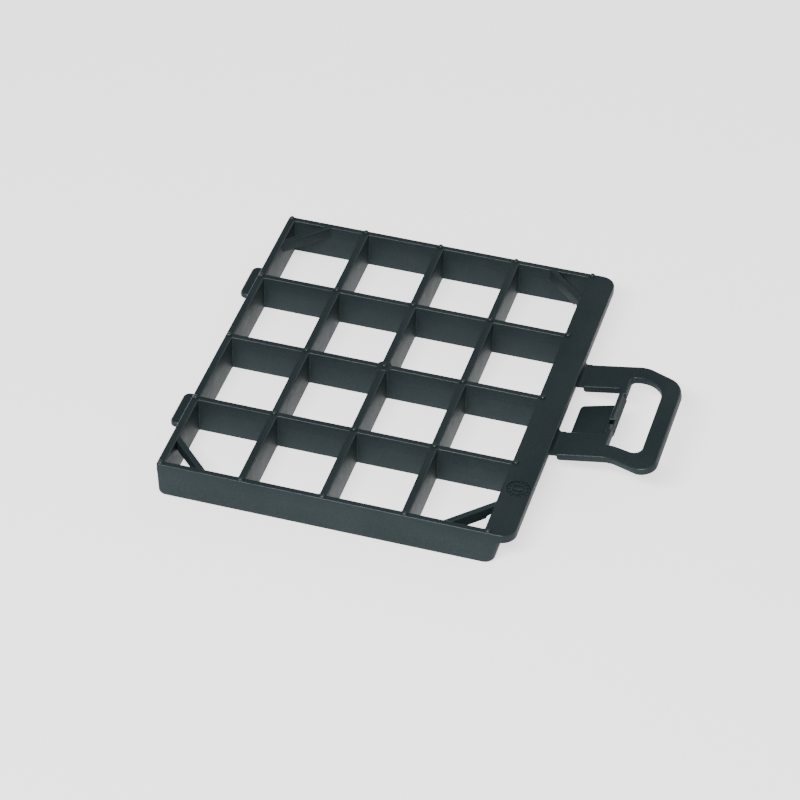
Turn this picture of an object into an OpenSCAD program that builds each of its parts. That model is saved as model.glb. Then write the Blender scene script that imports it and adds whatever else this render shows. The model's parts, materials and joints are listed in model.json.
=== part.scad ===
// Filter frame: an open grille tray with a flange along one side, two locating
// tabs on the other, and a pull handle that folds on two film hinges.
// The real thing is one moulding. Here each of its members is a solid of its own.
// Origin: centre of the grille at the bottom rim. X runs to the handle, Y to the back.

/* [Grid] */
// Distance between the ribs, from the tab side to the handle side
pitch_x = 27; // [22:0.2:36]
// Distance between the ribs, from front to back
pitch_y = 33.8; // [28:0.2:44]
// Height of the frame, from the bottom rim to the top of the ribs
frame_h = 12.8; // [10.6:0.1:18]

/* [Walls and ribs] */
// Top thickness of the front wall, the back wall and the ribs across
cross_t = 2.1; // [1.6:0.1:3]
// Top thickness of the left wall and the ribs from front to back
long_t = 2.5; // [1.8:0.1:3.5]
// Height of the upper mould half, from the top down to the parting line
upper_h = 4.2; // [3.5:0.1:5.5]
// How much thicker each rib side is at the parting line
rib_draft = 0.15; // [0:0.05:0.3]
// How far the outer faces lean in from top to bottom
wall_draft = 0.3; // [0:0.05:0.6]
// Radius of the tray's bottom edges on the left and the right
rim_r = 2; // [1:0.1:3]

/* [Flange] */
// Width of the flange
flange_w = 9.7; // [8:0.1:14]
// Thickness of the flange
flange_t = 3; // [2.4:0.1:3.4]
// Radius of the flange's two outer corners
flange_r = 5; // [2:0.1:6.5]
// Overhang of the flange past the right wall
overhang = 4.1; // [3:0.1:5]
// Thickness of the right wall
right_t = 2.2; // [1.6:0.1:2.6]
// How far the right wall leans in from the flange to the rim
right_lean = 2.3; // [0:0.1:3]

/* [Corner braces] */
// Length of a brace's leg along each wall
brace_leg = 13.5; // [10:0.1:18]
// Thickness of a brace
brace_t = 2; // [1.2:0.1:3]

/* [Locating tabs] */
// Length of a tab along the left wall
tab_len = 16; // [10:0.5:22]
// How far a tab stands out
tab_out = 4.75; // [3:0.05:7]
// Thickness of a tab
tab_t = 2; // [1.2:0.1:3]
// Distance of each tab from the middle
tab_offset = 35.3; // [24:0.1:42]
// Radius of a tab's corners
tab_r = 2.2; // [0.5:0.1:3.5]

/* [Boss, pips and dial] */
// Diameter of the boss where the middle ribs cross
boss_d = 5; // [4:0.1:8]
// Diameter of the pip on each crossing
pip_d = 1.9; // [1.2:0.1:2.4]
// Diameter of the date dial
dial_d = 8; // [5:0.1:8.4]
// Depth of the date dial
dial_depth = 0.5; // [0.3:0.1:1]
// Distance of the dial from the front face
dial_y = 23; // [10:0.5:40]

/* [Handle] */
// Angle of the handle above the frame as it lies
handle_tilt = 10.8; // [0:0.1:20]
// Thickness of the handle
handle_t = 2.5; // [2:0.1:3.2]
// Half width across the outside of the arms
arm_out = 23.7; // [20:0.1:30]
// Half width of the gap between the arms
arm_in = 11.9; // [10:0.1:14]
// Distance from the hinge axis to the crossbar
crossbar_u = 14.2; // [12:0.1:18]
// Width of the crossbar
crossbar_w = 2.4; // [1.8:0.1:3.5]
// Where the notch in the crossbar's top lies, from the middle to the front
notch_y = 5.5; // [3:0.1:6.5]
// Width of the notch
notch_w = 2.4; // [1.2:0.1:3]
// Width of the finger hole
finger_w = 12; // [10:0.1:20]
// Width of the grip bar
grip_w = 6.2; // [4:0.1:9]

/* [Film hinges] */
// Thickness of the film
film_t = 0.7; // [0.6:0.1:1]
// Length of the film, from the flange to the arm
film_len = 2.3; // [2:0.1:3.4]
// Gap at the film's axis between its fixed half and its moving half
film_gap = 0.05; // [0.03:0.01:0.1]

/* [Latch tongue] */
// Half width of the tongue
tongue_half = 8.3; // [6:0.1:9]
// Thickness of the tongue
tongue_t = 1; // [0.8:0.1:1.4]
// Angle at which the tongue leans down
tongue_lean = 5.3; // [0:0.1:8]
// Depth of the lip under the crossbar that carries the tongue
lip_h = 2.7; // [2:0.1:3.2]
// Half width of the lip
lip_half = 9.2; // [9.1:0.1:9.8]

/* [Hidden] */

cols = 4;
rows = 4;
plastic = [0.2, 0.22, 0.23];

half_x = cols / 2 * pitch_x;
half_y = rows / 2 * pitch_y;
part_z = frame_h - upper_h;
brace_h = upper_h - 0.2;
left_x = -half_x - long_t / 2;
outer_y = half_y + cross_t / 2;
inner_y = half_y - cross_t / 2;
flange_x0 = half_x - long_t / 2;
flange_x1 = flange_x0 + flange_w;
flange_z = frame_h - flange_t;
right_top = flange_x1 - overhang;
right_bottom = right_top - right_lean;

dial_x = (flange_x0 + flange_x1) / 2 + 0.3;
dial_pos_y = dial_y - outer_y;
dial_floor = frame_h - dial_depth;

hinge_x = flange_x1 + film_len / 2 - 0.2;
hinge_z = flange_z + film_t / 2;
arm_start = flange_x1 + film_len - hinge_x;
arm_mid = (arm_in + arm_out) / 2;
arm_w = arm_out - arm_in;
plate_top = film_t / 2;
plate_bottom = plate_top - handle_t;
hole_u0 = crossbar_u + crossbar_w;
hole_u1 = hole_u0 + finger_w;
loop_end = hole_u1 + grip_w;
grip_u0 = hole_u1 - 3.3;

tongue_tip_u = 0.9;
lip_bottom = plate_bottom - lip_h;
flex_z = lip_bottom + tongue_t / 2;
flex_u = crossbar_u - tongue_t / 2 - 0.3;
tongue_len = flex_u - tongue_tip_u;
bevel_run = 0.7;
bevel_top = crossbar_w - bevel_run;
notch_u0 = crossbar_u + 0.3;
notch_u1 = hole_u0 - 0.57 * bevel_run;

// Outline with its corners rounded: each corner is [x, y, radius].
function unit(v) = v / norm(v);
function corner_arc(a, b, c, r, steps) =
  let (
    u = unit(a - b),
    v = unit(c - b),
    half = acos(u * v) / 2,
    m = b + unit(u + v) * r / sin(half),
    start = b + u * r / tan(half) - m,
    turn = (u[0] * v[1] - u[1] * v[0] > 0 ? -1 : 1) * (180 - 2 * half)
  )
  [for (k = [0 : steps])
    let (t = turn * k / steps)
    m + [start[0] * cos(t) - start[1] * sin(t), start[0] * sin(t) + start[1] * cos(t)]];
function rounded(pts, steps = 8) =
  let (n = len(pts))
  [for (i = [0 : n - 1])
    let (
      a = pts[(i + n - 1) % n],
      b = pts[i],
      c = pts[(i + 1) % n],
      pa = [a[0], a[1]],
      pb = [b[0], b[1]],
      pc = [c[0], c[1]]
    )
    each b[2] > 0 ? corner_arc(pa, pb, pc, b[2], steps) : [pb]];

// Cross-section of a rib, widest at the parting line
function rib_profile(t) = [
  [-t / 2, 0], [t / 2, 0], [t / 2 + rib_draft, part_z],
  [t / 2, frame_h], [-t / 2, frame_h], [-t / 2 - rib_draft, part_z]
];

// Cross-section of an outer wall whose outer face looks to -x
function wall_profile(t) = [
  [-t / 2 + wall_draft, 0], [t / 2, 0], [t / 2 + rib_draft, part_z],
  [t / 2, frame_h], [-t / 2, frame_h]
];

// A profile in X-Z pulled along Y between two places
module along_y(y0, y1) {
  translate([0, y1, 0])
    rotate([90, 0, 0])
      linear_extrude(height = y1 - y0)
        children();
}

// A profile in Y-Z pulled along X between two places
module along_x(x0, x1) {
  translate([x0, 0, 0])
    rotate([90, 0, 90])
      linear_extrude(height = x1 - x0)
        children();
}

module flange_plate() {
  corners = [
    [flange_x0, -outer_y, 0], [flange_x1, -outer_y, flange_r],
    [flange_x1, outer_y, flange_r], [flange_x0, outer_y, 0]
  ];
  translate([0, 0, flange_z])
    linear_extrude(height = flange_t)
      polygon(rounded(corners));
}

module flange() {
  color(plastic)
    difference() {
      flange_plate();
      translate([dial_x, dial_pos_y, dial_floor])
        cylinder(d = dial_d, h = dial_depth + 1, $fn = 48);
    }
}

// The tray seen from the front: rounded below, leaning in on the right
function tray_outline() = [
  [left_x, frame_h, 0],
  [left_x + wall_draft, 0, rim_r],
  [right_bottom, 0, rim_r],
  [right_top, flange_z, 0],
  [right_top, frame_h, 0]
];

// Space between the left wall and the right wall, seen from the front.
// under says whether it goes on below the flange to the right wall.
function inside_x(under) = [
  [-half_x + long_t / 2, -1], [-half_x + long_t / 2, 0],
  [-half_x + long_t / 2 + rib_draft, part_z], [-half_x + long_t / 2, frame_h],
  [-half_x + long_t / 2, frame_h + 1], [flange_x0, frame_h + 1],
  if (under)
    each [
      [flange_x0, flange_z], [right_top - right_t, flange_z],
      [right_bottom - right_t, 0], [right_bottom - right_t, -1]
    ],
  if (!under) [flange_x0, -1]
];

// Space between two drafted faces that look at each other, seen from the side
function inside_y(y0, y1) = [
  [y0, -1], [y0, 0], [y0 + rib_draft, part_z], [y0, frame_h], [y0, frame_h + 1],
  [y1, frame_h + 1], [y1, frame_h], [y1 - rib_draft, part_z], [y1, 0], [y1, -1]
];

module between_x(under = true) {
  along_y(-outer_y - 1, outer_y + 1)
    polygon(inside_x(under));
}

module between_y(y0 = -inner_y, y1 = inner_y) {
  along_x(left_x - 1, flange_x1 + 1)
    polygon(inside_y(y0, y1));
}

// Front or back wall; side is -1 in front and 1 at the back
module end_wall(side) {
  color(plastic)
    difference() {
      intersection() {
        along_y(-outer_y - 1, outer_y + 1)
          polygon(rounded(tray_outline()));
        along_x(left_x - 1, right_top + 1)
          translate([side * half_y, 0])
            mirror([side > 0 ? 1 : 0, 0])
              polygon(wall_profile(cross_t));
      }
      flange_plate();
    }
}

module left_wall() {
  color(plastic)
    intersection() {
      along_y(-outer_y, outer_y)
        translate([-half_x, 0])
          polygon(wall_profile(long_t));
      along_y(-outer_y - 1, outer_y + 1)
        polygon(rounded(tray_outline()));
      between_y();
    }
}

module right_wall() {
  inner_top = right_top - right_t;
  inner_bottom = right_bottom - right_t;
  corners = [
    [inner_bottom, 0, 0], [right_bottom, 0, rim_r],
    [right_top, flange_z, 0], [inner_top, flange_z, 0]
  ];
  color(plastic)
    intersection() {
      along_y(-outer_y, outer_y)
        polygon(rounded(corners));
      between_y();
    }
}

module boss_body() {
  translate([0, 0, part_z])
    cylinder(d = boss_d, h = upper_h, $fn = 48);
}

module cross_rib(j) {
  color(plastic)
    difference() {
      intersection() {
        along_x(-half_x, right_top)
          translate([(j - rows / 2) * pitch_y, 0])
            polygon(rib_profile(cross_t));
        between_x();
      }
      if (j == rows / 2) boss_body();
    }
}

// Short rib between two ribs across: column i, cell row j
module cell_rib(i, j) {
  y0 = (j - 1 - rows / 2) * pitch_y;
  color(plastic)
    difference() {
      intersection() {
        along_y(y0, y0 + pitch_y)
          translate([(i - cols / 2) * pitch_x, 0])
            polygon(rib_profile(long_t));
        between_y(y0 + cross_t / 2, y0 + pitch_y - cross_t / 2);
      }
      if (i == cols / 2 && (j == rows / 2 || j == rows / 2 + 1)) boss_body();
    }
}

module centre_boss() {
  color(plastic)
    boss_body();
}

// Side view of a brace. The ones at the flange get shallower before they reach it.
function brace_outline(run, over, stepped) =
  let (
    s0 = 0.6 * brace_t,
    s1 = s0 + brace_h - flange_t
  )
  [
    [-over, 0], [run + over, 0], [run + over, -brace_h],
    if (stepped) each [[s1, -brace_h], [s0, -flange_t], [-over, -flange_t]],
    if (!stepped) [-over, -brace_h]
  ];

// Diagonal web across a corner. sx and sy say which corner.
module brace(sx, sy) {
  middle = brace_leg - brace_t / sqrt(2);
  color(plastic)
    intersection() {
      translate([sx * flange_x0, sy * (inner_y - middle), frame_h])
        rotate([90, 0, atan2(sy, -sx)])
          linear_extrude(height = brace_t, center = true)
            polygon(brace_outline(middle * sqrt(2), 2 * brace_t, sx > 0));
      between_x(false);
      between_y();
    }
}

module tab(side) {
  x0 = left_x - tab_out;
  y0 = side * tab_offset - tab_len / 2;
  y1 = y0 + tab_len;
  corners = [[x0, y0, tab_r], [-half_x, y0, 0], [-half_x, y1, 0], [x0, y1, tab_r]];
  color(plastic)
    intersection() {
      translate([0, 0, part_z - tab_t])
        linear_extrude(height = tab_t)
          polygon(rounded(corners, 6));
      along_y(y0 - 1, y1 + 1)
        polygon([
          [x0 - 1, 0], [left_x + wall_draft, 0], [left_x, part_z],
          [left_x, frame_h], [x0 - 1, frame_h]
        ]);
    }
}

module crossing_pips() {
  color(plastic)
    for (i = [0 : cols], j = [0 : rows])
      translate([(i - cols / 2) * pitch_x, (j - rows / 2) * pitch_y, frame_h])
        intersection() {
          sphere(d = pip_d, $fn = 24);
          cylinder(d = 2 * pip_d, h = pip_d, $fn = 24);
        }
}

module in_dial() {
  translate([dial_x, dial_pos_y, dial_floor])
    children();
}

module dial_ring() {
  color(plastic)
    in_dial()
      difference() {
        cylinder(d = dial_d * 0.6, h = dial_depth * 0.7, $fn = 48);
        translate([0, 0, -1])
          cylinder(d = dial_d * 0.52, h = dial_depth + 2, $fn = 48);
      }
}

module dial_ticks() {
  color(plastic)
    in_dial()
      for (k = [0 : 11])
        rotate([0, 0, 30 * k])
          translate([dial_d * 0.35, -0.15, 0])
            cube([dial_d * 0.1, 0.3, dial_depth * 0.7]);
}

module dial_arrow() {
  reach = dial_d * 0.22;
  color(plastic)
    in_dial()
      linear_extrude(height = dial_depth * 0.8)
        polygon([
          [-reach, -0.25], [0.3, -0.25], [0.3, -0.9], [reach, 0],
          [0.3, 0.9], [0.3, 0.25], [-reach, 0.25]
        ]);
}

// Fixed half of a film hinge, from the flange to just short of the axis
module film_root(side) {
  color(plastic)
    translate([flange_x1, side * arm_mid - arm_w / 2, flange_z])
      cube([hinge_x - film_t / 2 - film_gap - flange_x1, arm_w, film_t]);
}

// The handle's own frame: X away from the hinge axis, Y along it
module in_handle() {
  translate([hinge_x, 0, hinge_z])
    rotate([0, -handle_tilt, 0])
      children();
}

// Moving half of a film hinge, round at the axis
module film_lobe(side) {
  color(plastic)
    in_handle()
      translate([0, side * arm_mid, 0])
        union() {
          rotate([90, 0, 0])
            cylinder(d = film_t, h = arm_w, center = true, $fn = 32);
          translate([0, -arm_w / 2, -film_t / 2])
            cube([arm_start, arm_w, film_t]);
        }
}

// Arm from the film to the loop, with its lower end rounded
module arm(side) {
  corners = [
    [arm_start, plate_top, 0], [arm_start, plate_bottom, 1.1],
    [hole_u0, plate_bottom, 0], [hole_u0, plate_top, 0]
  ];
  color(plastic)
    in_handle()
      along_y(side * arm_mid - arm_w / 2, side * arm_mid + arm_w / 2)
        polygon(rounded(corners));
}

// Bar between the arms; its middle leans back on the side of the finger hole,
// and a notch in its top opens into that leaning face
module crossbar() {
  color(plastic)
    in_handle()
      difference() {
        translate([crossbar_u, -arm_in, plate_bottom])
          cube([crossbar_w, 2 * arm_in, handle_t]);
        along_y(-lip_half, lip_half)
          polygon([
            [hole_u0, plate_bottom], [crossbar_u + bevel_top, plate_top],
            [crossbar_u + bevel_top, plate_top + 1], [hole_u0 + 1, plate_top + 1],
            [hole_u0 + 1, plate_bottom]
          ]);
        translate([notch_u0, -notch_y - notch_w / 2, plate_bottom - 1])
          cube([notch_u1 - notch_u0, notch_w, handle_t + 2]);
      }
}

// Thicker root under the crossbar that the tongue springs from
module latch_lip() {
  color(plastic)
    in_handle()
      along_y(-lip_half, lip_half)
        polygon([
          [crossbar_u, plate_bottom], [crossbar_u, lip_bottom],
          [crossbar_u + 0.7, lip_bottom], [hole_u0 + 0.1, plate_bottom - 0.4],
          [hole_u0, plate_bottom]
        ]);
}

// Outside of the loop: it flares to the front and is cut back behind
function loop_outer() = [
  [hole_u0, -arm_out, 0],
  [hole_u0 + 2.2, -arm_out, 10],
  [loop_end, -arm_out - 8.1, 4.7],
  [loop_end, arm_out - 8.3, 10],
  [hole_u0 + 4.1, arm_out, 10],
  [hole_u0, arm_out, 0]
];

// Finger hole: a large round corner behind, slanting in front. It runs on past the
// arms' ends, which close it on that side.
function finger_hole() = [
  [hole_u0 - 1, -arm_in - 5.1, 0],
  [hole_u0 + 2.6, -arm_in - 5.8, 6],
  [hole_u1, -arm_in - 9.8, 2.4],
  [hole_u1, arm_in + 5.9, 10.5],
  [hole_u0 - 1, arm_in + 5.9, 0]
];

module loop_plate() {
  translate([0, 0, plate_bottom])
    linear_extrude(height = handle_t)
      difference() {
        polygon(rounded(loop_outer()));
        polygon(rounded(finger_hole()));
      }
}

// Part of the loop between two distances from the hinge, on one side of the middle
module loop_piece(u0, u1, v0, v1) {
  color(plastic)
    in_handle()
      intersection() {
        loop_plate();
        translate([u0, v0, plate_bottom - 1])
          cube([u1 - u0, v1 - v0, handle_t + 2]);
      }
}

module loop_front() {
  loop_piece(hole_u0 - 1, grip_u0, -3 * arm_out, 0);
}

module loop_back() {
  loop_piece(hole_u0 - 1, grip_u0, 0, 3 * arm_out);
}

module grip_bar() {
  loop_piece(grip_u0, loop_end + 1, -3 * arm_out, 3 * arm_out);
}

// Fixed end of the tongue on the lip
module tongue_stub() {
  stub_u = flex_u + tongue_t / 2 + film_gap;
  color(plastic)
    in_handle()
      translate([stub_u, -tongue_half, flex_z - tongue_t / 2])
        cube([crossbar_u - stub_u, 2 * tongue_half, tongue_t]);
}

// Springy tongue that leans down towards the frame, round at its flexing end
module latch_tongue() {
  tip_r = 1.5;
  outline = [
    [0, -tongue_half, 0], [0, tongue_half, 0],
    [-tongue_len, tongue_half, tip_r], [-tongue_len, -tongue_half, tip_r]
  ];
  color(plastic)
    in_handle()
      translate([flex_u, 0, flex_z])
        rotate([0, -tongue_lean, 0])
          union() {
            rotate([90, 0, 0])
              cylinder(d = tongue_t, h = 2 * tongue_half, center = true, $fn = 32);
            translate([0, 0, -tongue_t / 2])
              linear_extrude(height = tongue_t)
                polygon(rounded(outline, 6));
          }
}

end_wall(-1);  // front_wall
end_wall(1);  // back_wall
left_wall();
right_wall();
flange();
cross_rib(1);  // cross_rib_1
cross_rib(2);  // cross_rib_2
cross_rib(3);  // cross_rib_3
cell_rib(1, 1);  // cell_rib_1_1
cell_rib(1, 2);  // cell_rib_1_2
cell_rib(1, 3);  // cell_rib_1_3
cell_rib(1, 4);  // cell_rib_1_4
cell_rib(2, 1);  // cell_rib_2_1
cell_rib(2, 2);  // cell_rib_2_2
cell_rib(2, 3);  // cell_rib_2_3
cell_rib(2, 4);  // cell_rib_2_4
cell_rib(3, 1);  // cell_rib_3_1
cell_rib(3, 2);  // cell_rib_3_2
cell_rib(3, 3);  // cell_rib_3_3
cell_rib(3, 4);  // cell_rib_3_4
brace(-1, -1);  // brace_front_left
brace(-1, 1);  // brace_back_left
brace(1, -1);  // brace_front_right
brace(1, 1);  // brace_back_right
tab(-1);  // tab_front
tab(1);  // tab_back
centre_boss();
crossing_pips();
dial_ring();
dial_ticks();
dial_arrow();
film_root(-1);  // film_root_front
film_root(1);  // film_root_back
film_lobe(-1);  // film_lobe_front
film_lobe(1);  // film_lobe_back
arm(-1);  // arm_front
arm(1);  // arm_back
crossbar();
latch_lip();
loop_front();
loop_back();
grip_bar();
tongue_stub();
latch_tongue();
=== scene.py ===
"""Looks of the filter frame: one moulding in dark grained plastic, with film hinges."""

import bpy
import bmesh
import json
import math
from mathutils import Matrix, Vector
from mathutils.geometry import tessellate_polygon


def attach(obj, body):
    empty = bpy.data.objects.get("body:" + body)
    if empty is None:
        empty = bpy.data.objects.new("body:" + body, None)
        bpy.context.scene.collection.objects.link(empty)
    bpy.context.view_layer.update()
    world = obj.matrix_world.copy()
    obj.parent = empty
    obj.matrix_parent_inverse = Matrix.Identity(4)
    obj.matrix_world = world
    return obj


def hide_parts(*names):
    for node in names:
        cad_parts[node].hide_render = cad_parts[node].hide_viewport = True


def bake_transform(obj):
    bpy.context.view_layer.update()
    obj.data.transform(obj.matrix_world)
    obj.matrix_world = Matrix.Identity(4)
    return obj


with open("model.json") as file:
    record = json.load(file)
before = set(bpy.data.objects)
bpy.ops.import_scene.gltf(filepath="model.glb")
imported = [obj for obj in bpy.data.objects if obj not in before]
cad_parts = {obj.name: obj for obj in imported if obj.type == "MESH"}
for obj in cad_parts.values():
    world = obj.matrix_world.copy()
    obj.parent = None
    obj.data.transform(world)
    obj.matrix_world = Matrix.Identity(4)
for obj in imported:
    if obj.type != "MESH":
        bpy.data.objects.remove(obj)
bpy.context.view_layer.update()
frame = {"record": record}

# ---------------------------------------------------------------- sizes, in mm
MM = 0.001
PITCH_X, PITCH_Y = 27.0, 33.8
COLS, ROWS = 4, 4
TOP = 12.8                       # top of walls and ribs
PART_Z = 8.6                     # parting line
FLANGE_Z = 9.8                   # underside of the flange
CROSS_T, LONG_T = 2.1, 2.5       # ribs across, ribs from front to back
DRAFT = 0.15                     # a rib's side at the parting line
LEDGE = 0.05                     # offset of the lower mould half
WALL_DRAFT = 0.3
RIM_R = 2.0
EDGE = 0.36                      # rounding of the top edges
FOOT = 0.05                      # rounding of the ribs' bottom edges
TRAY_FOOT = 0.25                 # rounding of the tray's outer bottom edge
FILLET = 0.45                    # plan corners inside the cells
SMOOTH_ANGLE = 32                # sharper edges than this stay sharp, in degrees

HALF_X, HALF_Y = COLS / 2 * PITCH_X, ROWS / 2 * PITCH_Y
LEFT_X = -HALF_X - LONG_T / 2
OUTER_Y = HALF_Y + CROSS_T / 2
FLANGE_X0 = HALF_X - LONG_T / 2
FLANGE_X1 = FLANGE_X0 + 9.7
FLANGE_R = 5.0
RIGHT_TOP = FLANGE_X1 - 4.1
RIGHT_BOTTOM = RIGHT_TOP - 2.3
RIGHT_T = 2.2
LEFT_R, RIGHT_R = 0.8, 2.2       # plan corners of the tray

BRACE_LEG, BRACE_T, BRACE_H = 13.5, 2.0, 4.0
BRACE_SUNK, BRACE_EDGE = 0.26, 0.42
TAB_OUT, TAB_LEN, TAB_T, TAB_Y, TAB_R = 4.75, 16.0, 2.0, 35.3, 2.2
PIP_R, PIP_H = 0.95, 0.92
BOSS_R = 2.5
DIAL_X, DIAL_Y, DIAL_R, DIAL_DEPTH = 57.9, 23 - OUTER_Y, 4.0, 0.5
DIAL_FLOOR = TOP - DIAL_DEPTH
RING_OUT, RING_IN = 2.35, 2.05
TICKS, TICK_R0, TICK_R1, TICK_HALF = 12, 2.75, 3.6, 0.16
MARK_SUNK = 0.05                 # how far the dial's marks start inside their floor

FILM_T, FILM_LEN = 0.7, 2.3
FILM_STEPS = 14
GROOVE, GROOVE_AT, GROOVE_WIDTH = 0.10, 0.55, 0.16
FILM_FILLET, FILLET_REACH = 1.5, 0.42
HINGE_X = FLANGE_X1 + FILM_LEN / 2 - 0.2
HINGE_Z = FLANGE_Z + FILM_T / 2
TILT = math.radians(10.8)
HANDLE_T = 2.5
ARM_R = 1.1                      # the arms' underside, rounded at their ends
HANDLE_EDGE = 0.5
P_TOP = FILM_T / 2
P_BOT = P_TOP - HANDLE_T
ARM_U = FLANGE_X1 + FILM_LEN - HINGE_X
ARM_IN, ARM_OUT = 11.9, 23.7
BAR_U, BAR_W = 14.2, 2.4
HOLE_U0 = BAR_U + BAR_W
HOLE_U1 = HOLE_U0 + 12.0
LOOP_END = HOLE_U1 + 6.2
LIP_HALF = 9.2
LIP_BOT = P_BOT - 2.7
TONGUE_T, TONGUE_HALF = 1.0, 8.3
FLEX_U, FLEX_Z = BAR_U - TONGUE_T / 2 - 0.3, LIP_BOT + TONGUE_T / 2
TONGUE_LEAN = math.radians(5.3)
TONGUE_LEN = FLEX_U - 0.9
NOTCH_Y, NOTCH_W = 5.5, 2.4
NOTCH_U0, NOTCH_U1 = BAR_U + 0.3, HOLE_U0 - 0.4


# ---------------------------------------------------------------- mesh helpers
def corner_arc(a, b, c, r, steps):
    """Points on the arc of radius r that rounds the corner b."""
    a, b, c = Vector(a), Vector(b), Vector(c)
    u, v = (a - b).normalized(), (c - b).normalized()
    half = math.acos(max(-1.0, min(1.0, u.dot(v)))) / 2
    m = b + (u + v).normalized() * (r / math.sin(half))
    s = b + u * (r / math.tan(half)) - m
    turn = math.pi - 2 * half
    if u.x * v.y - u.y * v.x > 0:
        turn = -turn
    out = []
    for k in range(steps + 1):
        t = turn * k / steps
        out.append((m.x + s.x * math.cos(t) - s.y * math.sin(t),
                    m.y + s.x * math.sin(t) + s.y * math.cos(t)))
    return out


def rounded(corners, steps=8):
    """A polygon with its corners [x, y, radius] turned into arcs."""
    n, out = len(corners), []
    for i, (x, y, r) in enumerate(corners):
        if r > 0:
            out += corner_arc(corners[i - 1][:2], (x, y), corners[(i + 1) % n][:2], r, steps)
        else:
            out.append((x, y))
    return out


def offset(loop, d):
    """Moves a counter-clockwise outline out by d, keeping its number of points."""
    n, out = len(loop), []
    for i in range(n):
        a, b, c = Vector(loop[i - 1]), Vector(loop[i]), Vector(loop[(i + 1) % n])
        e, f = (b - a).normalized(), (c - b).normalized()
        ne, nf = Vector((e.y, -e.x)), Vector((f.y, -f.x))
        m = (ne + nf).normalized()
        k = d / max(0.3, m.dot(ne))
        out.append((b.x + m.x * k, b.y + m.y * k))
    return out


def circle(x, y, r, n=48):
    return [(x + r * math.cos(2 * math.pi * k / n), y + r * math.sin(2 * math.pi * k / n))
            for k in range(n)]


def ring(bm, loop, z, matrix=None):
    """Places an outline at height z, in millimetres, and gives its vertices."""
    pts = [Vector((x, y, z)) for x, y in loop]
    if matrix is not None:
        pts = [matrix @ p for p in pts]
    return [bm.verts.new(p * MM) for p in pts]


def wall(bm, rings):
    """Joins rings of the same number of vertices, one to the next."""
    for low, high in zip(rings, rings[1:]):
        n = len(low)
        for i in range(n):
            j = (i + 1) % n
            bm.faces.new((low[i], low[j], high[j], high[i]))


def cap(bm, rings):
    """Fills a flat outline with its holes; a repeated or folded triangle is left out."""
    verts = [v for r in rings for v in r]
    for tri in tessellate_polygon([[v.co for v in r] for r in rings]):
        if len(set(tri)) == 3:
            try:
                bm.faces.new([verts[i] for i in tri])
            except ValueError:
                pass


def edge_levels(z0, z1, r0, r1, steps=4):
    """Heights and insets of a side with rounded lower and upper edges."""
    out = []
    for k in range(steps + 1):
        t = math.pi / 2 * k / steps
        if r0 > 0:
            out.append((z0 + r0 * (1 - math.cos(t)), r0 * (1 - math.sin(t))))
    if r0 <= 0:
        out.append((z0, 0.0))
    for k in range(steps + 1):
        t = math.pi / 2 * k / steps
        if r1 > 0:
            out.append((z1 - r1 * (1 - math.sin(t)), r1 * (1 - math.cos(t))))
    if r1 <= 0:
        out.append((z1, 0.0))
    return out


def plate(bm, outline, z0, z1, r0=0.0, r1=0.0, holes=(), matrix=None, steps=4):
    """A flat piece with rounded edges. An outline may be a function of the height."""
    levels = edge_levels(z0, z1, r0, r1, steps)
    rings = []
    for shape, sign in [(outline, -1)] + [(h, 1) for h in holes]:
        stack = []
        for z, inset in levels:
            loop = shape(z) if callable(shape) else shape
            stack.append(ring(bm, offset(loop, sign * inset), z, matrix))
        wall(bm, stack)
        rings.append(stack)
    cap(bm, [s[0] for s in rings])
    cap(bm, [s[-1] for s in rings])


def smooth(mesh, angle=SMOOTH_ANGLE):
    for p in mesh.polygons:
        p.use_smooth = True
    mesh.set_sharp_from_angle(angle=math.radians(angle))


def make(name, bm, angle=SMOOTH_ANGLE):
    bmesh.ops.recalc_face_normals(bm, faces=bm.faces)
    mesh = bpy.data.meshes.new(name)
    bm.to_mesh(mesh)
    bm.free()
    smooth(mesh, angle)
    obj = bpy.data.objects.new(name, mesh)
    bpy.context.scene.collection.objects.link(obj)
    return obj


# ---------------------------------------------------------------- tray and rim
def tray_side_profiles():
    """The tray's left and right outer faces, seen along y, as (z, x) points."""
    pts = rounded([
        (LEFT_X, TOP, 0), (LEFT_X + WALL_DRAFT, 0, RIM_R), (RIGHT_BOTTOM, 0, RIM_R),
        (RIGHT_TOP, FLANGE_Z, 0), (RIGHT_TOP, TOP, 0),
    ], 14)
    left = sorted((z, x) for x, z in pts if x < 0)
    right = sorted((z, x) for x, z in pts if x > 0)
    return left, right


LEFT_PROFILE, RIGHT_PROFILE = tray_side_profiles()


def look_up(profile, z):
    """The x of a profile of (z, x) points at a height."""
    for (z0, x0), (z1, x1) in zip(profile, profile[1:]):
        if z0 <= z <= z1 and z1 > z0:
            return x0 + (x1 - x0) * ((z - z0) / (z1 - z0))
    return profile[0][1] if z < profile[0][0] else profile[-1][1]


def tray_ring(z, ledge):
    """The tray's outside at a height; the lower mould half stands in by a ledge."""
    inset = WALL_DRAFT * max(0.0, (PART_Z - z) / PART_Z) + ledge
    if z < TRAY_FOOT:
        inset += TRAY_FOOT - math.sqrt(TRAY_FOOT ** 2 - (TRAY_FOOT - z) ** 2)
    xl, xr = look_up(LEFT_PROFILE, z) + ledge, look_up(RIGHT_PROFILE, z) - ledge
    y = OUTER_Y - inset
    return rounded([(xl, -y, LEFT_R), (xr, -y, RIGHT_R), (xr, y, RIGHT_R), (xl, y, LEFT_R)], 8)


def rim_ring(inset):
    """The outline of the walls' tops and the flange."""
    xl, xr, y = LEFT_X + inset, FLANGE_X1 - inset, OUTER_Y - inset
    r = FLANGE_R - inset
    return rounded([(xl, -y, LEFT_R - inset / 2), (xr, -y, r), (xr, y, r),
                    (xl, y, LEFT_R - inset / 2)], 12)


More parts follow.
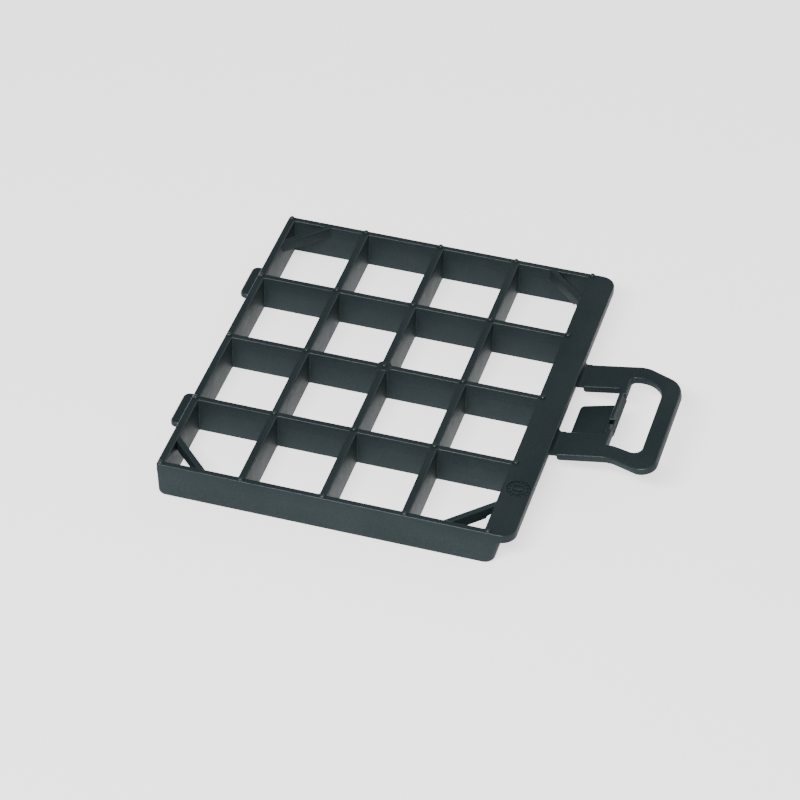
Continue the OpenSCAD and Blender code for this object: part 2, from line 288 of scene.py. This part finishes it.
def cell_ring(i, j, grow, right):
    """Plan outline of a cell, larger than its nominal size by grow."""
    x0 = (i - COLS / 2) * PITCH_X + LONG_T / 2 - grow
    x1 = (i + 1 - COLS / 2) * PITCH_X - LONG_T / 2 + grow if right is None else right
    y0 = (j - ROWS / 2) * PITCH_Y + CROSS_T / 2 - grow
    y1 = (j + 1 - ROWS / 2) * PITCH_Y - CROSS_T / 2 + grow
    return rounded([(x0, y0, FILLET), (x1, y0, FILLET), (x1, y1, FILLET), (x0, y1, FILLET)], 5)


CELLS = [(i, j) for i in range(COLS) for j in range(ROWS)]


def build_tray(bm):
    """From the bottom rim up to the flange's underside."""
    low = [0, .03, .1, .25, .45, .7, 1.0, 1.35, 1.7, 2.1, PART_Z]
    outer = [ring(bm, tray_ring(z, LEDGE), z) for z in low]
    outer += [ring(bm, tray_ring(z, 0.0), z) for z in (PART_Z, FLANGE_Z)]
    wall(bm, outer)
    stacks = [outer]
    for i, j in CELLS:
        stack = []
        for k in range(4):
            t = math.pi / 2 * k / 3
            stack.append((FOOT * (1 - math.cos(t)), FOOT * (1 - math.sin(t))))
        stack.append((PART_Z, -DRAFT + LEDGE))
        stack.append((PART_Z, -DRAFT))
        stack.append((FLANGE_Z, -DRAFT * (TOP - FLANGE_Z) / (TOP - PART_Z)))
        rings = []
        for z, grow in stack:
            right = None
            if i == COLS - 1:
                right = look_up([(0, RIGHT_BOTTOM - RIGHT_T), (FLANGE_Z, RIGHT_TOP - RIGHT_T)], z)
                right += max(0.0, grow) if z < 1 else 0.0
            rings.append(ring(bm, cell_ring(i, j, grow, right), z))
        wall(bm, rings)
        stacks.append(rings)
    cap(bm, [s[0] for s in stacks])
    cap(bm, [s[-1] for s in stacks])


def build_rim(bm):
    """From the flange's underside to the top, with the flange and the dial's recess."""
    levels = [(FLANGE_Z, 0.0)] + edge_levels(PART_Z, TOP, 0, EDGE)[1:]
    outer = [ring(bm, rim_ring(inset), z) for z, inset in levels]
    wall(bm, outer)
    stacks = [outer]
    for i, j in CELLS:
        rings = []
        for z, inset in levels:
            lean = DRAFT * (TOP - z) / (TOP - PART_Z)
            right = FLANGE_X0 + inset if i == COLS - 1 else None
            rings.append(ring(bm, cell_ring(i, j, inset - lean, right), z))
        wall(bm, rings)
        stacks.append(rings)
    cap(bm, [s[0] for s in stacks])
    dial = []
    for z, r in ((DIAL_FLOOR, DIAL_R - 0.08), (TOP - 0.12, DIAL_R),
                 (TOP - 0.03, DIAL_R + 0.03), (TOP, DIAL_R + 0.1)):
        dial.append(ring(bm, circle(DIAL_X, DIAL_Y, r, 64), z))
    wall(bm, dial)
    cap(bm, [dial[0]])
    cap(bm, [s[-1] for s in stacks] + [dial[-1]])


def build_braces(bm):
    """Diagonal webs; on the flange's side their deeper part stops short of it."""
    iy = OUTER_Y - CROSS_T
    centre = BRACE_LEG - BRACE_T / math.sqrt(2)
    near, far, e = centre - BRACE_T / math.sqrt(2), BRACE_LEG, BRACE_SUNK
    for sx in (-1, 1):
        for sy in (-1, 1):
            def place(pts):
                out = [(sx * (FLANGE_X0 - a), sy * (iy - b)) for a, b in pts]
                return out if sx * sy > 0 else out[::-1]
            shape = place([(-e, near + e), (-e, far + e), (far + e, -e), (near + e, -e)][::-1])
            if sx < 0:
                plate(bm, shape, TOP - BRACE_H, TOP, 0.15, BRACE_EDGE)
                continue
            plate(bm, shape, FLANGE_Z, TOP, 0, BRACE_EDGE)
            # the deeper part runs out to its rounded lower edge
            drop = BRACE_H - (TOP - FLANGE_Z)
            levels = []
            for k in range(7):
                t = math.pi / 2 * k / 6
                z = TOP - BRACE_H + drop * math.sin(t)
                cut = 1.0 + 0.9 * drop * math.cos(t)
                levels.append(ring(bm, place([
                    (cut, near - cut), (cut, far - cut), (far + e, -e), (near + e, -e)
                ][::-1]), z))
            wall(bm, levels)
            cap(bm, [levels[0]])
            cap(bm, [levels[-1]])


def build_tabs(bm):
    x0 = LEFT_X - TAB_OUT
    for side in (-1, 1):
        y0, y1 = side * TAB_Y - TAB_LEN / 2, side * TAB_Y + TAB_LEN / 2
        shape = rounded([(x0, y0, TAB_R), (LEFT_X + 0.6, y0, 0), (LEFT_X + 0.6, y1, 0),
                         (x0, y1, TAB_R)], 8)
        plate(bm, shape, PART_Z - TAB_T, PART_Z, 0.35, 0.8, steps=6)


def dome(bm, x, y, z, r, h, n=20, m=6):
    rings = []
    for k in range(m):
        t = math.pi / 2 * k / m
        q = r * math.cos(t)
        rings.append(ring(bm, circle(x, y, q, n), z + h * math.sin(t)))
    wall(bm, rings)
    tip = bm.verts.new(Vector((x, y, z + h)) * MM)
    last = rings[-1]
    for i in range(n):
        bm.faces.new((last[i], last[(i + 1) % n], tip))
    bm.faces.new(rings[0][::-1])


def build_pips(bm):
    for i in range(COLS + 1):
        for j in range(ROWS + 1):
            x, y = (i - COLS / 2) * PITCH_X, (j - ROWS / 2) * PITCH_Y
            dome(bm, x, y, TOP - 0.02, PIP_R, PIP_H)


def build_boss(bm):
    plate(bm, circle(0, 0, BOSS_R), PART_Z, TOP + 0.12, 0, 0.25)


def build_dial(bm):
    """The raised marks: a ring, ticks around it and an arrow in it."""
    low = DIAL_FLOOR - MARK_SUNK
    centre = Matrix.Translation((DIAL_X, DIAL_Y, 0))
    plate(bm, circle(DIAL_X, DIAL_Y, RING_OUT), low, DIAL_FLOOR + 0.34, 0, 0.13,
          holes=[circle(DIAL_X, DIAL_Y, RING_IN)], steps=2)
    tick = [(TICK_R0, -TICK_HALF), (TICK_R1, -TICK_HALF), (TICK_R1, TICK_HALF),
            (TICK_R0, TICK_HALF)]
    for k in range(TICKS):
        turn = Matrix.Rotation(math.radians(360 / TICKS * k), 4, "Z")
        plate(bm, tick, low, DIAL_FLOOR + 0.32, 0, 0.1, matrix=centre @ turn, steps=2)
    arrow = [(-1.75, -0.22), (0.25, -0.22), (0.25, -0.85), (1.75, 0.0), (0.25, 0.85),
             (0.25, 0.22), (-1.75, 0.22)]
    plate(bm, arrow, low, DIAL_FLOOR + 0.4, 0, 0.16, matrix=centre, steps=3)


bm = bmesh.new()
for build in (build_tray, build_rim, build_braces, build_tabs, build_pips, build_boss,
              build_dial):
    build(bm)
grille = make("grille_moulding", bm)
ROOT_NODES = [n for n in frame["record"]["behaviour"]["bodies"]["frame"]
              if not n.startswith("film_root")]
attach(grille, "frame")
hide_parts(*ROOT_NODES)

# ---------------------------------------------------------------- handle
HANDLE = (Matrix.Translation((HINGE_X, 0, HINGE_Z))
          @ Matrix.Rotation(-TILT, 4, "Y"))


def arm_start(w):
    """Where the arms begin: rounded off towards their underside."""
    rise = w - P_BOT
    if rise >= ARM_R:
        return ARM_U
    return ARM_U + ARM_R - math.sqrt(max(0.0, ARM_R ** 2 - (ARM_R - rise) ** 2))


def handle_outline(w):
    """The handle's outside at a height w above the film's middle."""
    u = arm_start(w)
    return rounded([
        (u, -ARM_OUT, 0),
        (HOLE_U0 + 2.2, -ARM_OUT, 10), (LOOP_END, -ARM_OUT - 8.1, 4.7),
        (LOOP_END, ARM_OUT - 8.3, 10), (HOLE_U0 + 4.1, ARM_OUT, 10),
        (u, ARM_OUT, 0), (u, ARM_IN, 0),
        (BAR_U, ARM_IN, 0.6), (BAR_U, -ARM_IN, 0.6), (u, -ARM_IN, 0),
    ], 14)


def hole_outline(w):
    """The finger hole; the crossbar's middle leans back on that side."""
    lean = 0.75 * (w - P_BOT) / HANDLE_T
    shape = rounded([
        (HOLE_U0, -LIP_HALF - 0.3, 0),
        (HOLE_U0, ARM_IN - 29.1, 0.4), (HOLE_U0 + 2.6, ARM_IN - 29.6, 6),
        (HOLE_U1, ARM_IN - 33.6, 2.4), (HOLE_U1, ARM_IN + 5.9, 10.5),
        (HOLE_U0, ARM_IN + 5.9, 1.4),
        (HOLE_U0, LIP_HALF + 0.3, 0),
    ], 12)
    return shape + [(HOLE_U0 - lean, LIP_HALF), (HOLE_U0 - lean, -LIP_HALF)]


def handle_levels():
    """Heights of the handle and how far its outline stands in there."""
    out = []
    for k in range(9):
        t = math.pi / 2 * k / 8
        out.append((P_BOT + ARM_R * (1 - math.cos(t)),
                    0.3 * max(0.0, 1 - math.sin(min(1.0, k / 4) * math.pi / 2))))
    for k in range(6):
        t = math.pi / 2 * k / 5
        out.append((P_TOP - HANDLE_EDGE * (1 - math.sin(t)),
                    HANDLE_EDGE * (1 - math.cos(t))))
    return out


bm = bmesh.new()
stacks = []
for shape, sign in ((handle_outline, -1), (hole_outline, 1)):
    rings = []
    for w, inset in handle_levels():
        loop = offset(shape(w), sign * inset)
        rings.append(ring(bm, loop, w, HANDLE))
    wall(bm, rings)
    stacks.append(rings)
cap(bm, [s[0] for s in stacks])
cap(bm, [s[-1] for s in stacks])

# the lip under the crossbar's middle, drawn in u and w and pulled along y
LIP = HANDLE @ Matrix.Rotation(math.pi / 2, 4, "X")
lip_shape = rounded([
    (BAR_U + 0.02, P_BOT + 0.4, 0), (BAR_U + 0.02, LIP_BOT, 0.0),
    (BAR_U + 0.7, LIP_BOT, 0.5), (HOLE_U0 + 0.1, P_BOT - 0.4, 0.35),
    (HOLE_U0 - 0.1, P_BOT + 0.4, 0),
], 6)
plate(bm, lip_shape, -LIP_HALF, LIP_HALF, 0.25, 0.25, matrix=LIP)
handle = make("pull_handle", bm)


def cut(obj, bm):
    """Takes a closed shape out of a piece."""
    tool = make("cutter", bm)
    mod = obj.modifiers.new("cut", "BOOLEAN")
    mod.operation, mod.solver, mod.object = "DIFFERENCE", "EXACT", tool
    mod.use_self = True
    deps = bpy.context.evaluated_depsgraph_get()
    mesh = bpy.data.meshes.new_from_object(obj.evaluated_get(deps))
    obj.modifiers.remove(mod)
    bpy.data.objects.remove(tool)
    mesh.materials.clear()
    obj.data = mesh
    smooth(mesh)


# the notch in the crossbar's top: a chamfered mouth over a wider hollow
bm = bmesh.new()
rings = []
for w, grow, du in ((P_TOP + 0.3, 0.45, 0.1), (P_TOP - 0.25, 0.0, 0.0), (P_TOP - 0.6, 0.0, 0.0),
                    (P_TOP - 0.9, 0.9, -0.15), (P_BOT - 1.2, 0.9, -0.15)):
    y0, y1 = -NOTCH_Y - NOTCH_W / 2 - grow, -NOTCH_Y + NOTCH_W / 2 + grow
    u0, u1 = NOTCH_U0 - du, NOTCH_U1 + du
    rings.append(ring(bm, [(u0, y0), (u1, y0), (u1, y1), (u0, y1)], w, HANDLE))
wall(bm, rings[::-1])
bm.faces.new(rings[0])
bm.faces.new(rings[-1][::-1])
cut(handle, bm)
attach(handle, "handle")
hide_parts("arm_front", "arm_back", "crossbar", "latch_lip", "loop_front",
            "loop_back", "grip_bar")

# ---------------------------------------------------------------- film hinges
def film(name, side, nodes):
    """A thin strip with a shallow groove along its middle, from flange to arm."""
    bm = bmesh.new()
    y0, y1 = sorted((side * ARM_IN, side * ARM_OUT))
    rows = []
    start = Vector((FLANGE_X1 - 0.25, 0, HINGE_Z))
    end = HANDLE @ Vector((ARM_U + 0.3, 0, 0))
    mid = Vector((HINGE_X, 0, HINGE_Z))
    for k in range(FILM_STEPS + 1):
        t = k / FILM_STEPS
        p = start.lerp(mid, 2 * t) if t < 0.5 else mid.lerp(end, 2 * t - 1)
        tilt = TILT * min(1.0, max(0.0, (t - 0.3) / 0.4))
        groove = GROOVE * math.exp(-((t - GROOVE_AT) / GROOVE_WIDTH) ** 2)
        fillet = FILM_FILLET * math.exp(-max(0.0, p.x - FLANGE_X1) / FILLET_REACH)
        h = FILM_T / 2 - groove
        top = h + fillet
        up = Vector((-math.sin(tilt), 0, math.cos(tilt)))
        row = []
        for y, w in ((y0, -h), (y1, -h), (y1, top - 0.06), (y1 - 0.06, top),
                     (y0 + 0.06, top), (y0, top - 0.06)):
            row.append(bm.verts.new((p + up * w + Vector((0, y, 0))) * MM))
        rows.append(row)
    wall(bm, rows)
    bm.faces.new(rows[0][::-1])
    bm.faces.new(rows[-1])
    obj = make(name, bm, 40)
    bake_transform(obj)
    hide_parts(*nodes)
    return obj


films = [film("film_hinge_front", -1, ("film_root_front", "film_lobe_front")),
         film("film_hinge_back", 1, ("film_root_back", "film_lobe_back"))]

# ---------------------------------------------------------------- latch tongue
TONGUE = (HANDLE @ Matrix.Translation((FLEX_U, 0, FLEX_Z))
          @ Matrix.Rotation(-TONGUE_LEAN, 4, "Y"))
root_u = BAR_U + 0.3 - FLEX_U
# a few extra points near the root, where the real tongue flexes
outline = [(root_u, -TONGUE_HALF), (-1.2, -TONGUE_HALF)]
outline += rounded([(-3.0, -TONGUE_HALF, 0), (-TONGUE_LEN, -TONGUE_HALF, 1.5),
                    (-TONGUE_LEN, TONGUE_HALF, 1.5), (-3.0, TONGUE_HALF, 0)], 8)
outline += [(-1.2, TONGUE_HALF), (root_u, TONGUE_HALF)]
bm = bmesh.new()
plate(bm, outline[::-1], -TONGUE_T / 2, TONGUE_T / 2, 0.2, 0.25, matrix=TONGUE, steps=3)
tongue = make("latch_tongue_moulding", bm)
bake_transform(tongue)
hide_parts("latch_tongue", "tongue_stub")


# ---------------------------------------------------------------- material
COLOUR_DARK, COLOUR_LIGHT = (0.0125, 0.0205, 0.0228, 1), (0.0166, 0.0258, 0.0284, 1)
SPECK_DARK, SPECK_LIGHT, SPECK_SHARE = (0.72, 0.72, 0.72, 1), (1.15, 1.15, 1.15, 1), 0.55


def plastic(name, rough_low, rough_high, specular):
    """The dark grained plastic, with a range of roughness."""
    mat = bpy.data.materials.new(name)
    mat.use_nodes = True
    nt = mat.node_tree
    nodes, links = nt.nodes, nt.links
    bsdf = nodes["Principled BSDF"]
    coord = nodes.new("ShaderNodeTexCoord")

    def noise(scale, detail, rough=0.5):
        n = nodes.new("ShaderNodeTexNoise")
        n.inputs["Scale"].default_value = scale
        n.inputs["Detail"].default_value = detail
        n.inputs["Roughness"].default_value = rough
        links.new(coord.outputs["Object"], n.inputs["Vector"])
        return n.outputs["Fac"]

    def colours(value, low, high):
        """A ramp between two (position, colour) stops."""
        ramp = nodes.new("ShaderNodeValToRGB")
        for stop, (at, colour) in zip(ramp.color_ramp.elements, (low, high)):
            stop.position = at
            stop.color = colour
        links.new(value, ramp.inputs["Fac"])
        return ramp.outputs["Color"]

    def bump(height, strength, distance):
        n = nodes.new("ShaderNodeBump")
        n.inputs["Strength"].default_value = strength
        n.inputs["Distance"].default_value = distance
        links.new(height, n.inputs["Height"])
        return n

    # colour: anthracite with faint cloudy flow marks and fine specks
    mix = nodes.new("ShaderNodeMix")
    mix.data_type = "RGBA"
    mix.blend_type = "MULTIPLY"
    mix.inputs["Factor"].default_value = SPECK_SHARE
    links.new(colours(noise(55, 3), (0.3, COLOUR_DARK), (0.72, COLOUR_LIGHT)), mix.inputs["A"])
    links.new(colours(noise(1500, 3, 0.6), (0.35, SPECK_DARK), (0.65, SPECK_LIGHT)),
              mix.inputs["B"])
    links.new(mix.outputs["Result"], bsdf.inputs["Base Color"])

    # roughness: matt grain, slightly polished in patches
    rough = nodes.new("ShaderNodeMapRange")
    rough.inputs["From Min"].default_value = 0.3
    rough.inputs["From Max"].default_value = 0.7
    rough.inputs["To Min"].default_value = rough_low
    rough.inputs["To Max"].default_value = rough_high
    links.new(noise(140, 4, 0.6), rough.inputs["Value"])
    links.new(rough.outputs["Result"], bsdf.inputs["Roughness"])

    # bump: fine spark-eroded grain over a very shallow waviness
    grain = bump(noise(3200, 3, 0.6), 0.35, 0.00006)
    wave = bump(noise(160, 2), 0.3, 0.0002)
    links.new(grain.outputs["Normal"], wave.inputs["Normal"])
    links.new(wave.outputs["Normal"], bsdf.inputs["Normal"])
    bsdf.inputs["IOR"].default_value = 1.5
    bsdf.inputs["Specular IOR Level"].default_value = specular
    return mat


# flat faces keep the mould's matt grain; the rounded edges come out polished
moulded = plastic("moulded_anthracite", 0.50, 0.58, 0.10)
polished = plastic("polished_edges", 0.28, 0.36, 0.36)


def dress(obj, up=None):
    """Coats a piece; its rounded upper edges get the polished plastic."""
    obj.data.materials.clear()
    obj.data.materials.append(moulded)
    if up is None:
        return
    obj.data.materials.append(polished)
    for p in obj.data.polygons:
        p.material_index = 1 if EDGE_LOW < p.normal.dot(up) < EDGE_HIGH else 0


WORLD_UP = Vector((0, 0, 1))
EDGE_LOW, EDGE_HIGH = 0.30, 0.97     # how far up a rounded edge's faces look
dress(grille, WORLD_UP)
dress(handle, HANDLE.to_3x3() @ WORLD_UP)
dress(tongue, TONGUE.to_3x3() @ WORLD_UP)
for strip in films:
    dress(strip)

# ---------------------------------------------------------------- floor, light, camera
FLOOR_GLOW, WORLD_LIGHT = 1.5, 0.4
SOFTBOXES = [                        # place, size, power
    ("top_back", (0.30, 0.86, 0.76), (1.0, 0.7), 4.2),
    ("edge_front", (-0.05, -0.63, 0.72), (0.6, 0.12), 11.5),
]
LIGHT_AIM = Vector((0, 0, 0.006))
CAM_AT, CAM_AIM = Vector((0.2283, -0.7810, 0.6858)), Vector((0.0099, -0.0152, 0.0128))
CAM_ROLL = math.radians(1.01)
CAM_LENS, CAM_SENSOR = 144.0, 36.0

bm = bmesh.new()
bmesh.ops.create_grid(bm, x_segments=1, y_segments=1, size=3.0)
floor = make("studio_floor", bm)
pale = bpy.data.materials.new("pale_floor")
pale.use_nodes = True
bsdf = pale.node_tree.nodes["Principled BSDF"]
bsdf.inputs["Base Color"].default_value = (0.8, 0.8, 0.8, 1)
bsdf.inputs["Roughness"].default_value = 0.9
bsdf.inputs["Emission Color"].default_value = (1, 1, 1, 1)
bsdf.inputs["Emission Strength"].default_value = FLOOR_GLOW
floor.data.materials.append(pale)

world = bpy.data.worlds.new("studio")
bpy.context.scene.world = world
world.use_nodes = True
background = world.node_tree.nodes["Background"]
background.inputs["Color"].default_value = (1, 1, 1, 1)
background.inputs["Strength"].default_value = WORLD_LIGHT

for name, at, size, watts in SOFTBOXES:
    light = bpy.data.lights.new(name, "AREA")
    light.shape = "RECTANGLE"
    light.size, light.size_y = size
    light.energy = watts
    lamp = bpy.data.objects.new(name, light)
    bpy.context.scene.collection.objects.link(lamp)
    lamp.location = at
    lamp.rotation_euler = (LIGHT_AIM - Vector(at)).to_track_quat("-Z", "Y").to_euler()

cam_data = bpy.data.cameras.new("camera")
cam_data.lens = CAM_LENS
cam_data.sensor_width = CAM_SENSOR
cam_data.sensor_fit = "HORIZONTAL"
cam = bpy.data.objects.new("camera", cam_data)
bpy.context.scene.collection.objects.link(cam)
forward = (CAM_AIM - CAM_AT).normalized()
level = forward.cross(WORLD_UP).normalized()
above = level.cross(forward)
right = level * math.cos(CAM_ROLL) + above * math.sin(CAM_ROLL)
up = above * math.cos(CAM_ROLL) - level * math.sin(CAM_ROLL)
turn = Matrix((right, up, -forward)).transposed().to_4x4()
cam.matrix_world = Matrix.Translation(CAM_AT) @ turn
bpy.context.scene.camera = cam
